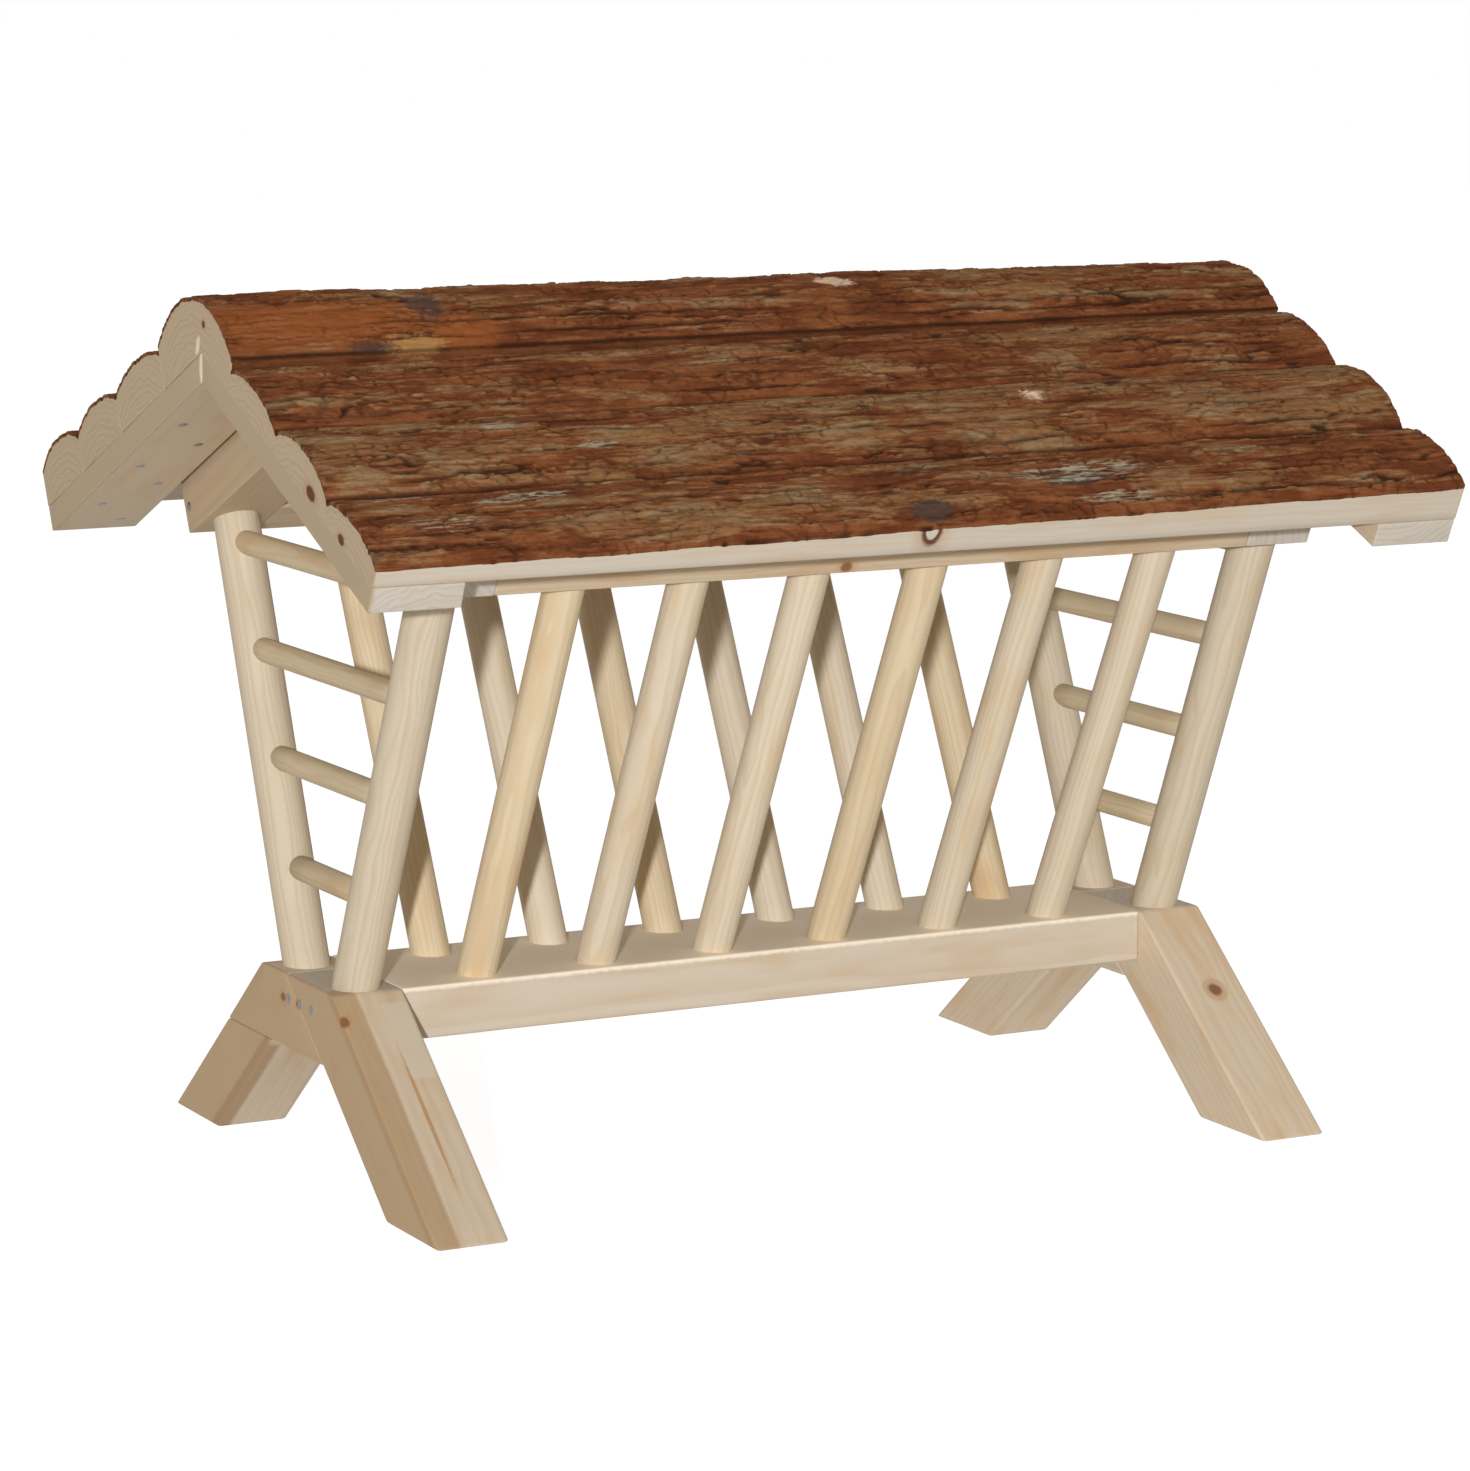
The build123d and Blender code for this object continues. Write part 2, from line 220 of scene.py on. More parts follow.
def knot(centre, radii, core=(128, 84, 54)):
    """Marks of a knot: a warm halo round a dark core. A mark is (centre, radii, colour, share)."""
    halo = [1.9 * radius for radius in radii]
    return [(centre, halo, rgb(196, 152, 104), 0.5), (centre, radii, rgb(*core), 0.9)]


def softwood(name, early, late, deep, ring=2.8, contrast=0.55, marks=(), end=(0.62, 0.58, 0.52, 1)):
    """Bare softwood with marks at places of the object, in mm.

    A mark is (centre, radii, colour, share), or (centre, (reach, radius), colour, share,
    axis) for a streak along an axis.
    """
    finish = Finish(name)
    wood, roughness, height = wood_grain(finish, early, late, deep, ring, contrast, end)
    at = finish.add("ShaderNodeTexCoord", out=3)
    place = finish.add("ShaderNodeVectorMath", {"operation": "SCALE"}, {0: at, 3: 1 / MM})
    wobble = (finish.noise(place, 0.35, 2.0) - 0.5) * 0.9 if marks else 0.0
    push = 1.5  # reach in mm of the wobble of a mark's edge
    fade = 1.8  # width in mm of the edge itself
    for centre, radii, colour, share, *axis in marks:
        ragged = wobble * min(1.0, push / min(radii))
        edge = min(0.7, fade / min(radii))
        if axis:
            inside = finish.streak(place, centre, *axis, *radii, ragged * 0.5, edge)
        else:
            inside = finish.spot(place, centre, radii, ragged, edge)
        wood = finish.mix(inside * share, wood, colour)
    return finish.close(wood, roughness, height, 0.6)


def block_profile(width, depth, rounding):
    """Closed rounded rectangle from -1 to 1 both ways: flats with a point near each arc."""
    corners = np.array([(1, 1), (-1, 1), (-1, -1), (1, -1)])
    radii = 2 * rounding / np.array([width, depth])
    shares = np.array([0.03, 0.2, 0.4, 0.6, 0.8, 0.97])[:, None]
    points = []
    for quarter, (corner, after) in enumerate(zip(corners, np.roll(corners, -1, axis=0))):
        angles = np.radians(90 * quarter + np.linspace(0, 90, 5))
        turns = np.stack((np.cos(angles), np.sin(angles)), 1)
        arc = corner * (1 - radii) + radii * turns
        goal = after * (1 - radii) + radii * turns[-1]
        points += [arc, arc[-1] + shares * (goal - arc[-1])]
    return np.concatenate(points)


def sweep_faces(rings, count):
    """Quads between rings of count points each, and a face on each end."""
    ring = np.arange(rings - 1)[:, None] * count
    at = np.arange(count)[None, :]
    after = (at + 1) % count
    quads = np.stack((ring + at, ring + after, ring + count + after, ring + count + at), -1)
    faces = quads.reshape(-1, 4).tolist()
    faces.append(list(range(count))[::-1])
    faces.append(list(range((rings - 1) * count, rings * count)))
    return faces


def new_piece(name, points, faces, material, **attributes):
    """Mesh object at the origin, in metres, from points in millimetres, facing outwards."""
    mesh = bpy.data.meshes.new(name)
    mesh.from_pydata((points * MM).tolist(), [], faces)
    for label, data in attributes.items():
        layer = mesh.attributes.new(label, "FLOAT_VECTOR", "POINT")
        layer.data.foreach_set("vector", data.astype(np.float32).ravel())
    mesh.shade_smooth()
    mesh.materials.append(material)
    piece = bpy.data.objects.new(name, mesh)
    bpy.context.scene.collection.objects.link(piece)
    return piece


def even_tone(cut, bright, warmth):
    """The attribute tone of points that differ only in being on a cut end or not."""
    return np.stack((np.full(len(cut), bright), np.full(len(cut), warmth), cut), 1)


def square_axes(axis, helper):
    """Two unit vectors square to a unit axis and to each other, the first to helper too."""
    side = np.cross(axis, helper)
    side /= np.linalg.norm(side)
    return side, np.cross(axis, side)


def tree_place(points, axis, rng, pith):
    """Grain coordinates of a piece sawn from a trunk whose pith runs at some distance."""
    axis = axis / np.linalg.norm(axis)
    side, other = square_axes(axis, [0.0, 0.0, 1.0] if abs(axis[2]) < 0.8 else [1.0, 0.0, 0.0])
    turn = rng.uniform(0, 2 * math.pi)
    away = rng.uniform(*pith)
    middle = points.mean(0)
    rel = points - middle
    along = rel @ axis + rng.uniform(0, 2000)
    across = rel @ side + away * math.cos(turn)
    through = rel @ other + away * math.sin(turn)
    return np.stack((along, across, through), 1)


def planed_block(name, corners, material, seed, rounding=0.9, pith=(25.0, 60.0), bright=1.0, warmth=0.5):
    """Six-sided planed piece: a rounded rectangle carried from one end to the other.

    corners[end][v][u] are its eight corners in mm. A point is the trilinear mix of them at
    (a, b, t), where (a, b) runs round the profile and t along the piece, and the last
    stations of t draw the profile in by a quarter circle, which rounds the ends.
    """
    corners = np.asarray(corners, float)
    axis = corners[1].mean((0, 1)) - corners[0].mean((0, 1))
    length = np.linalg.norm(axis)
    width = np.linalg.norm(corners[:, :, 1] - corners[:, :, 0], axis=-1).mean()
    depth = np.linalg.norm(corners[:, 1] - corners[:, 0], axis=-1).mean()
    profile = block_profile(width, depth, rounding)
    turns = np.radians(np.linspace(0, 90, 5))
    inset_in = rounding * (1 - np.sin(turns))
    t_in = rounding * (1 - np.cos(turns)) / length
    spacing = 12
    middle = np.linspace(t_in[-1], 1 - t_in[-1], max(3, int(length / spacing)))[1:-1]
    t = np.concatenate((t_in, middle, 1 - t_in[::-1]))
    inset = np.concatenate((inset_in, np.zeros(len(middle)), inset_in[::-1]))
    a = profile[None, :, 0] * (1 - 2 * inset[:, None] / width)
    b = profile[None, :, 1] * (1 - 2 * inset[:, None] / depth)
    ta = np.broadcast_to(t[:, None], a.shape)
    wu = np.stack(((1 - a) / 2, (1 + a) / 2), -1)
    wv = np.stack(((1 - b) / 2, (1 + b) / 2), -1)
    wt = np.stack((1 - ta, ta), -1)
    points = np.einsum("rpe,rpv,rpu,evuk->rpk", wt, wv, wu, corners)
    rings, count = a.shape
    points = points.reshape(-1, 3)
    faces = sweep_faces(rings, count)
    across = np.cross(corners[0, 0, 1] - corners[0, 0, 0], corners[0, 1, 0] - corners[0, 0, 0])
    if across @ axis < 0:
        faces = [face[::-1] for face in faces]
    rng = np.random.default_rng(seed)
    grain = tree_place(points, axis, rng, pith)
    cut = np.repeat(np.where(inset > rounding * 0.3, 1.0, 0.0), count)
    tone = even_tone(cut, bright, warmth)
    return new_piece(name, points, faces, material, grain=grain, tone=tone)


def box_corners(low, high):
    """Corners of an upright box whose grain runs along X."""
    xs, ys, zs = zip(low, high)
    return [[[(x, y, z) for y in ys] for z in zs] for x in xs]


def node_box(node):
    """Lowest and highest corner of a CAD node, in millimetres."""
    return [np.array(corner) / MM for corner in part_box(node)]


def stand_in(piece, node, body):
    """Puts a finished piece in its CAD node's place."""
    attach(piece, body)
    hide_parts(node)


def planed_part(node, corners, material, seed, body="rack", slot="planed_bar_wood", **look):
    """A planed block in its CAD node's place."""
    stand_in(planed_block(node + "_wood", corners, material, seed, **look), node, body)


PALE = rgb(214, 201, 183)
RING = rgb(200, 176, 144)
HEART = rgb(203, 170, 130)
WIDE = 4000  # of a mark, in a direction in which it takes in the whole piece
low, high = node_box("base_plank")
plank_top = high[2]
plank_half = (high[1] - low[1]) / 2
middle_y = (high[1] + low[1]) / 2
# Painted light: a flat mark that reaches 1.5 mm down into the plank's top from above and paints it
# lighter, to make up for the little light the top gets under the roof.
painted_light_on_top = ((0, middle_y, plank_top + 30), (WIDE, WIDE, 31.5), rgb(255, 243, 224), 0.95)
plank_wood = softwood("plank_wood", PALE, RING, HEART, marks=[painted_light_on_top])
plank = planed_block("plank", box_corners(low, high), plank_wood, 3, pith=(30, 50))
stand_in(plank, "base_plank", "rack")

# ---- Trestles ----
# Two trestles of square bar, one at each end. The front leg runs up to the top, the cross
# bar butts on it and lies over the back leg, and all are glued. The feet are cut level.

SIDES = {"front": -1, "back": 1}
ENDS = {"left": -1, "right": 1}
CORNERS = [(f"{s}_{e}", SIDES[s], ENDS[e]) for s in SIDES for e in ENDS]


def raked_leg(side, node):
    """Corners of a leg between its level foot and its level top, read off its outline."""
    low, high = node_box(node)
    top = high[2]
    foot_outer = max(abs(low[1] - middle_y), abs(high[1] - middle_y))
    rake = (foot_outer - plank_half) / plank_top
    bar_level = (high[0] - low[0]) * math.hypot(1, rake)
    xs = (low[0], high[0])
    ends = []
    for z in (0, top):
        outer = foot_outer - rake * z
        reach = (outer, outer - bar_level)
        ends.append([[(x, middle_y + side * y, z) for x in xs] for y in reach])
    return ends


def cross_bar(node):
    """Corners of a cross bar, whose ends are raked like the legs."""
    low, high = node_box(node)
    outer = high[1] - middle_y
    rake = (outer - plank_half) / (high[2] - low[2])
    bar_level = (high[0] - low[0]) * math.hypot(1, rake)
    back = (plank_half, outer)
    front = (bar_level - plank_half, bar_level - outer)
    xs = (low[0], high[0])
    zs = (high[2], low[2])
    return [[[(x, middle_y + y, z) for x in xs] for y, z in zip(ys, zs)] for ys in (front, back)]


# Unit vectors up along the front and the back legs.
front_way = (0, 0.777, 0.629)
back_way = (0, -0.777, 0.629)
leg_marks = [
    # Painted shade: the left trestle's outer faces, within 1.5 mm of x = -200, are painted darker.
    ((-230, middle_y, 40), (31.5, WIDE, WIDE), rgb(184, 155, 116), 0.75),
    ((-196, middle_y - 84.8, 39.5), (75, 6), rgb(178, 148, 112), 0.75, front_way),
    ((-176, middle_y - 55.5, 63.0), (19, 6.2), rgb(214, 202, 184), 0.8, front_way),
    ((-182, middle_y - 84.8, 39.5), (75, 0.8), rgb(186, 140, 92), 0.8, front_way),
    ((-199, middle_y + 60.7, 22), (40, 4), rgb(168, 137, 102), 0.8, back_way),
    *knot((-200, middle_y - 46, 70.5), (2.5, 3.0, 2.2)),
    *knot((186, middle_y - 71, 50), (3.0, 3.5, 3.0)),
    *knot((-200, middle_y + 14, 69), (2.0, 2.4, 1.8)),
    *knot((-200, middle_y - 1, 69), (2.0, 2.0, 1.6)),
]
leg_wood = softwood("leg_wood", rgb(211, 195, 172), RING, HEART, marks=leg_marks)
leg_bright = {"front_left": 1.02, "front_right": 1.15, "back_left": 1.05, "back_right": 1.19}
for corner, side, end in CORNERS:
    node = f"{corner}_leg"
    look = {"rounding": 1.6, "warmth": 0.8, "bright": leg_bright[corner]}
    planed_part(node, raked_leg(side, node), leg_wood, 11 + side + 3 * end, **look)

for end_name, end in ENDS.items():
    node = f"{end_name}_cross_bar"
    planed_part(node, cross_bar(node), leg_wood, 21 + end, bright=1.04)

# ---- Corner posts, dowels and rungs ----
# Turned softwood rods, glued into bored holes: thick posts at the corners, thinner dowels
# between them and thin rungs across the ends.


def circle_about(axis, helper, count):
    """Unit vectors square to a unit axis, evenly spread round it."""
    side, other = square_axes(axis, helper)
    angle = np.linspace(0, 2 * math.pi, count, endpoint=False)
    return np.cos(angle)[:, None] * side + np.sin(angle)[:, None] * other


def round_rod(name, start, end, radius, material, seed, bright, warmth):
    """Rod: a circle of that radius carried in a straight line from start to end, in mm."""
    start = np.asarray(start, float)
    axis = np.asarray(end, float) - start
    length = np.linalg.norm(axis)
    unit = axis / length
    count = 36
    circle = circle_about(unit, [0.0, 1.0, 0.0] if abs(unit[1]) < 0.8 else [1.0, 0.0, 0.0], count)
    chamfer = 0.6
    spacing = 15
    steps = np.linspace(0, 1, max(4, int(length / spacing)))[1:-1]
    t = np.concatenate(([0, chamfer / length], steps, [1 - chamfer / length, 1]))
    shrink = np.ones(len(t))
    shrink[[0, -1]] = 1 - chamfer / radius
    points = start + t[:, None, None] * axis + (radius * shrink)[:, None, None] * circle[None]
    points = points.reshape(-1, 3)
    rng = np.random.default_rng(seed)
    grain = tree_place(points, axis, rng, (12.0, 45.0))
    cut = np.repeat((shrink < 1).astype(float), count)
    tone = even_tone(cut, bright, warmth)
    return new_piece(name, points, sweep_faces(len(t), count), material, grain=grain, tone=tone)


def node_points(node):
    """Corners of a CAD node's triangles, in millimetres."""
    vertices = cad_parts[node].data.vertices
    flat = np.empty(len(vertices) * 3)
    vertices.foreach_get("co", flat)
    return flat.reshape(-1, 3) / MM


def cap_centres(node):
    """Centres of a rod's two flat ends: the middles of its lowest and highest rims.

    The rod's axis is the direction in which its points are spread the most.
    """
    points = node_points(node)
    rel = points - (points.max(0) + points.min(0)) / 2
    _, _, axes = np.linalg.svd(rel - rel.mean(0), full_matrices=False)
    axis = axes[0] * np.sign(axes[0][2] if abs(axes[0][2]) > 0.2 else axes[0][1])
    reach = rel @ axis
    flat = 0.01
    rims = (points[reach < reach.min() + flat], points[reach > reach.max() - flat])
    return [(rim.min(0) + rim.max(0)) / 2 for rim in rims]


pale_colours = (rgb(220, 206, 183), rgb(204, 182, 148), rgb(210, 180, 136))
warm_colours = (rgb(222, 204, 172), rgb(206, 178, 138), rgb(208, 170, 122))
rod_wood = softwood("rod_wood", *pale_colours, ring=2.2)
warm_rod_wood = softwood("warm_rod_wood", *warm_colours, ring=2.0)
rung_wood = softwood("rung_wood", rgb(217, 200, 168), rgb(196, 170, 132), HEART, ring=2.2)
warm_rods = ("front_dowel_1", "front_dowel_4", "back_dowel_1", "back_dowel_3", "back_dowel_6")
# Radius in mm and brightness of each kind of rod.
rod_kinds = {
    "_post": (9.5, 0.92),
    "_dowel_": (8.0, 1.03),
    "left_rung_": (5.0, 0.96),
    "right_rung_": (5.0, 1.05),
}
rod_nodes = [node for node in sorted(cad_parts) if any(kind in node for kind in rod_kinds)]
for index, node in enumerate(rod_nodes):
    radius, kind_bright = next(size for kind, size in rod_kinds.items() if kind in node)
    start, stop = cap_centres(node)
    rng = np.random.default_rng(100 + index)
    bright = rng.uniform(0.97, 1.03) * kind_bright
    warmth = rng.uniform(0.1, 0.9)
    wood = rung_wood if "_rung_" in node else warm_rod_wood if node in warm_rods else rod_wood
    piece = round_rod(node + "_wood", start, stop, radius, wood, 40 + index, bright, warmth)
    stand_in(piece, node, "rack")

# ---- Top frame ----
# Two rails between two mitred pairs of rafters, all of square bar, square to the rows. The
# rails are a browner wood. They are glued and nailed through the rafters.

slope = math.radians(24)
slope_sin = math.sin(slope)
slope_cos = math.cos(slope)
low, high = node_box("front_left_rafter")
bar = high[0] - low[0]
frame_eave = ((middle_y - low[1]) - bar * slope_sin) / slope_cos
under_apex = low[2] + frame_eave * slope_sin


def slope_point(side, along, up, x):
    """Point on one slope: along runs down it from the apex, up stands square to it."""
    y = middle_y + side * (along * slope_cos + up * slope_sin)
    return (x, y, under_apex - along * slope_sin + up * slope_cos)


def down_slope(side, x_low, x_high, eave, low, high):
    """Corners of a bar that runs down a slope, from its mitre to its square end."""
    mitre = [-up * math.tan(slope) for up in (low, high)]
    xs = (x_low, x_high)
    return [
        [[slope_point(side, along, up, x) for x in xs] for along, up in zip(end, (low, high))]
        for end in (mitre, (eave, eave))
    ]


frame_wood = softwood("frame_wood", rgb(194, 173, 143), rgb(180, 154, 120), rgb(184, 152, 114))
for corner, side, end in CORNERS:
    node = f"{corner}_rafter"
    low, high = node_box(node)
    corners = down_slope(side, low[0], high[0], frame_eave, 0, bar)
    planed_part(node, corners, frame_wood, 61 + side + 3 * end, rounding=0.7)

rail_knot = knot(slope_point(-1, frame_eave, 3, -17.8), (2.6, 1.6, 2.2))
rail_colours = (rgb(206, 186, 158), rgb(184, 152, 116), rgb(190, 156, 118))
rail_wood = softwood("rail_wood", *rail_colours, 2.4, marks=rail_knot)
for side_name, side in SIDES.items():
    node = f"{side_name}_rail"
    low, high = node_box(node)
    alongs = (frame_eave - bar, frame_eave)
    corners = [
        [[slope_point(side, along, up, x) for along in alongs] for up in (0, bar)]
        for x in (low[0], high[0])
    ]
    planed_part(node, corners, rail_wood, 71 + side, slot="rail_wood", rounding=0.7, warmth=0.8)

# ---- Nails ----
# Dull wire nails with flat heads, driven through the trestles, rafters and battens. Their
# heads lie flush with the wood, with a slightly domed and scratched face.


def nail_metal():
    """Dull drawn steel with fine scratches, from the place on the object."""
    finish = Finish("nail_metal")
    at = finish.add("ShaderNodeTexCoord", out=3)
    mottle = finish.noise(at, 900.0, 3.0, 0.6)
    colour = finish.mix(mottle, rgb(104, 100, 94), rgb(158, 153, 146))
    roughness = mottle * 0.2 + 0.42
    scratch_depth = 0.1 * MM
    return finish.close(colour, roughness, mottle * scratch_depth, 0.3, gloss=0.5, metal=1.0)


def nail_places(across, along):
    """Middles and reach of a node's nails, given their points across and along the nails.

    Points of one nail lie within its head's width of each other, seen along the nail.
    """
    head_width = 4.7
    head_reach = 3.0
    spots = np.unique(np.round(across, 1), axis=0)
    near = np.linalg.norm(spots[:, None] - spots[None], axis=-1) < head_width
    label = near.argmax(axis=1)
    places = []
    for first in np.unique(label):
        members = np.linalg.norm(across - spots[label == first].mean(0), axis=1) < head_reach
        middle = (across[members].min(0) + across[members].max(0)) / 2
        places.append((middle, along[members].min(), along[members].max()))
    return places


def nails(name, heads, metal):
    """Turned nails: a profile of radii and depths carried round each axis.

    heads lists (point of the head's face, direction into the wood, length), in mm.
    """
    radius = np.array([0.0, 1.1, 1.8, 2.2, 2.2, 1.2, 1.2, 0.02])
    depth = np.array([-0.25, -0.22, -0.12, 0.05, 0.9, 1.0, -2.4, 0.0])
    count = 20
    points, faces = [], []
    for number, (face, into, length) in enumerate(heads):
        into = np.asarray(into, float)
        reach = depth.copy()
        reach[-2:] += length
        circle = circle_about(into, [0.3, 0.9, 0.2], count)
        rings = np.asarray(face) + reach[:, None, None] * into + radius[:, None, None] * circle[None]
        points.append(rings.reshape(-1, 3))
        start = number * count * len(radius)
        faces += [[start + at for at in reversed(one)] for one in sweep_faces(len(radius), count)]
    return new_piece(name, np.concatenate(points), faces, metal)


steel = nail_metal()
for node in ("plank_nails", "rail_nails"):
    points = node_points(node)
    heads = []
    for end in (-1, 1):
        mine = points[points[:, 0] * end > 0]
        for middle, first, last in nail_places(mine[:, 1:], mine[:, 0] * end):
            heads.append(((end * last, *middle), (-end, 0, 0), last - first))
    stand_in(nails(node + "_steel", heads, steel), node, "rack")

# ---- Roof battens ----
# Two flat battens under each slope's slabs, just outside the rafters, mitred at the ridge.
# The slabs are nailed to them from below.

batten_marks = [
    # Painted shade: the left battens' outer faces, within 1 mm of the roof's left end, are painted
    # darker.
    ((-260, middle_y, 300), (24.5, WIDE, WIDE), rgb(176, 158, 128), 0.8),
    *knot((-214, middle_y + 20, 307), (3.0, 3.5, 2.5)),
    ((-236.5, middle_y, 323), (3.0, 1.7, 8.0), rgb(232, 220, 196), 0.9),
]
batten_wood = softwood("batten_wood", rgb(207, 191, 166), RING, HEART, contrast=0.4, marks=batten_marks)
for corner, side, end in CORNERS:
    node = f"{corner}_batten"
    low, high = node_box(node)
    far = abs(low[1] - middle_y) if side < 0 else abs(high[1] - middle_y)
    roof_eave = (far - bar * slope_sin) / slope_cos
    batten_low = (low[2] - under_apex + roof_eave * slope_sin) / slope_cos
    corners = down_slope(side, low[0], high[0], roof_eave, batten_low, bar)
    planed_part(node, corners, batten_wood, 81 + side + 3 * end, "roof", rounding=0.5)


def to_slope(points, side):
    """Distance down a slope and height square to it, of points in mm."""
    y = (points[..., 1] - middle_y) * side
    z = points[..., 2] - under_apex
    return np.stack((y * slope_cos - z * slope_sin, y * slope_sin + z * slope_cos), -1)


points = node_points("batten_nails")
heads = []
for side in (-1, 1):
    mine = points[(points[:, 1] - middle_y) * side > 0]
    along, up = to_slope(mine, side).T
    into = (0, side * slope_sin, slope_cos)
    for middle, first, last in nail_places(np.stack((mine[:, 0], along), 1), up):
        heads.append((slope_point(side, middle[1], first, middle[0]), into, last - first))
stand_in(nails("batten_nails_steel", heads, steel), "batten_nails", "roof")

# ---- Bark slabs ----
# Half-round slabs sawn off logs, laid along the roof with the bark up, and a notched half
# log over the ridge. The bark is scaly: long thin plates with ragged edges lie over each
# other, with dark fissures between. The ends show the rings and a thin dark line of bark.

# Half the width and the depth of the long furrows in the CAD's bark, in mm.
furrow_half = 1.6
furrow_depth = 1.3
SECTION_REACH = 0.02  # within which a point of a CAD slab counts as being on its end
EDGE_REACH = 0.05  # and within which a point of that end counts as being at its edge


def ripple(x, y, seed):
    """Smooth noise between about -1 and 1 on a plane, with waves about one unit long.

    Each corner of the unit grid has a random direction. A point takes the products of its
    offsets from the four corners around it with their directions, faded smoothly together.
    """
    columns, rows = 97, 89
    turns = np.random.default_rng(seed).uniform(0, 2 * math.pi, (columns, rows))
    column = np.floor(x).astype(int)
    row = np.floor(y).astype(int)
    fx = x - column
    fy = y - row

    def pull(dx, dy):
        turn = turns[(column + dx) % columns, (row + dy) % rows]
        return np.cos(turn) * (fx - dx) + np.sin(turn) * (fy - dy)

    wx = fx**3 * (fx * (fx * 6 - 15) + 10)
    wy = fy**3 * (fy * (fy * 6 - 15) + 10)
    near = pull(0, 0) * (1 - wx) + pull(1, 0) * wx
    far = pull(0, 1) * (1 - wx) + pull(1, 1) * wx
    return 1.5 * (near * (1 - wy) + far * wy)


def smooth(value, low, high):
    """Smooth step from 0 at low to 1 at high."""
    t = np.clip((value - low) / (high - low), 0, 1)
    return t * t * (3 - 2 * t)


def bark(x, s, seed):
    """Height in mm, plate level, crack and hue of bark at x along a log and s round it.

    The point is first pushed about, so that nothing runs straight. A noise stretched along
    the log is cut into five terraces with steep rims, which are the plates. Where a second
    stretched noise crosses zero the bark is split along the log, and where a third does it
    is broken across, less deeply. A last one gives each patch its hue.
    """

    def even(length, breadth, number):
        return ripple(x / length, s / breadth, seed + number)

    def bent(length, breadth, number):
        return ripple(x_bent / length, s_bent / breadth, seed + number)

    x_bent = x + 6 * even(28, 11, 0) + 2 * even(8, 4, 1)
    s_bent = s + 1.9 * even(26, 9, 2) + 0.8 * even(7, 3.5, 3)
    swell = bent(40, 8, 4) + 0.5 * bent(19, 4, 5) + 0.25 * bent(8, 2, 6)
    terraces = 5
    climb = (swell * 0.42 + 0.5) * terraces
    floor_level = np.floor(climb)
    level = np.clip((floor_level + smooth(climb - floor_level, 0.0, 0.25)) / terraces, 0, 1)
    split = np.abs(bent(80, 5.5, 7) + 0.12 * even(9, 2.5, 8))
    open_here = smooth(even(45, 12, 9), -0.35, 0.25)
    crack = (1 - smooth(split, 0.02, 0.10)) * open_here
    across = np.abs(bent(11, 9, 14))
    broken = smooth(even(32, 14, 15), -0.25, 0.2)
    crack = np.maximum(crack, 0.55 * (1 - smooth(across, 0.02, 0.12)) * broken)
    hue = 0.5 + 0.5 * bent(34, 8, 10) + 0.2 * bent(12, 3, 11)
    grit = even(3.1, 1.7, 12) + even(1.9, 1.1, 13)
    height = 2.6 * (level - 0.5) - 1.2 * crack + 0.10 * grit
    return height, level, crack, np.clip(hue, 0, 1)


